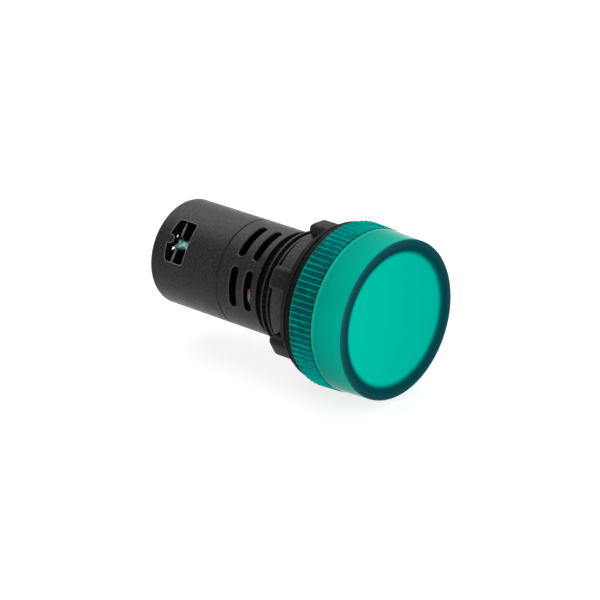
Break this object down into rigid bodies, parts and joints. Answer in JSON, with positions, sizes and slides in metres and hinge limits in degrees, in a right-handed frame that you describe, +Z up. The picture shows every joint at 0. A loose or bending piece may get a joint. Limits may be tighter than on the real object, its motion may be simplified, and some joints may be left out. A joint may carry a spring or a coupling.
{
  "type": "panel pilot light",
  "caption": "Round green panel pilot light with a ribbed lens, gasket, mounting nut, vented body, and screw terminals behind a wire window.",
  "frame": {"origin": "on the lamp's axis, in the plane of the gasket's rear face, where the front of the panel lies", "axes": "+Y runs along the axis to the rear, so the lens faces -Y; +Z is up and +X is to the right seen from the front; the wire window faces up and to the left (-X), 56 degrees from the top"},
  "size_m": [0.031, 0.0522, 0.031],
  "materials": {
    "lens_green": "green polycarbonate, ribbed and glossy on the skirt, frosted on the drum and face",
    "housing_black": "black glass-filled polyamide with a fine satin grain",
    "nut_black": "black polyamide, satin, with worn-bright moulded edges",
    "gasket_rubber": "dark rubber, smooth",
    "block_pale": "pale blue-green translucent plastic",
    "terminal_plate_nickel": "nickel-plated brass strip",
    "clamp_nickel": "bright nickel-plated steel",
    "screw_zinc": "zinc-plated steel",
    "board_white": "white-coated glass-epoxy board",
    "led_body": "moulded diode package",
    "header_black": "black plastic",
    "pin_gold": "gold-flashed brass",
    "board_green": "dark green solder mask on glass-epoxy board",
    "resistor_lilac": "lilac-grey lacquer with one red band",
    "smoothing_sleeve": "dark shrink sleeve",
    "diode_black": "black moulded body with one pale band",
    "rectifier_black": "black moulding compound"
  },
  "bodies": {
    "lamp": {"lens": "lens_green", "front_housing": "housing_black", "gasket": "gasket_rubber", "rear_housing": "housing_black", "terminal_block": "block_pale", "terminal_plate_left": "terminal_plate_nickel", "terminal_plate_right": "terminal_plate_nickel", "lamp_board": "board_white", "led_1": "led_body", "led_2": "led_body", "led_3": "led_body", "led_4": "led_body", "led_5": "led_body", "board_header": "header_black", "header_pins": "pin_gold", "driver_board": "board_green", "dropper_resistor": "resistor_lilac", "smoothing_capacitor": "smoothing_sleeve", "power_diode": "diode_black", "bridge_rectifier": "rectifier_black"},
    "nut": {"mounting_nut": "nut_black"},
    "washer_left": {"clamp_washer_left": "clamp_nickel"},
    "washer_right": {"clamp_washer_right": "clamp_nickel"},
    "screw_left": {"terminal_screw_left": "screw_zinc"},
    "screw_right": {"terminal_screw_right": "screw_zinc"}
  },
  "joints": [
    {"name": "nut_travel", "type": "slide", "parent": "lamp", "child": "nut", "axis": [0, 1, 0], "range_m": [0, 0.0065]},
    {"name": "clamp_travel_left", "type": "slide", "parent": "lamp", "child": "washer_left", "axis": [0, 1, 0], "range_m": [-0.0037, 0.001]},
    {"name": "screw_turn_left", "type": "hinge", "parent": "washer_left", "child": "screw_left", "pos_m": [-0.00538, 0.0362, -0.00011], "axis": [0, 1, 0], "range_deg": [-2665, 721]},
    {"name": "clamp_travel_right", "type": "slide", "parent": "lamp", "child": "washer_right", "axis": [0, 1, 0], "range_m": [-0.0037, 0.001]},
    {"name": "screw_turn_right", "type": "hinge", "parent": "washer_right", "child": "screw_right", "pos_m": [-0.00191, 0.0362, 0.00503], "axis": [0, 1, 0], "range_deg": [-2665, 721]}
  ],
  "couplings": [
    {"joint": "screw_turn_left", "follows": "clamp_travel_left", "rad_per_m": 12566},
    {"joint": "screw_turn_right", "follows": "clamp_travel_right", "rad_per_m": 12566}
  ]
}
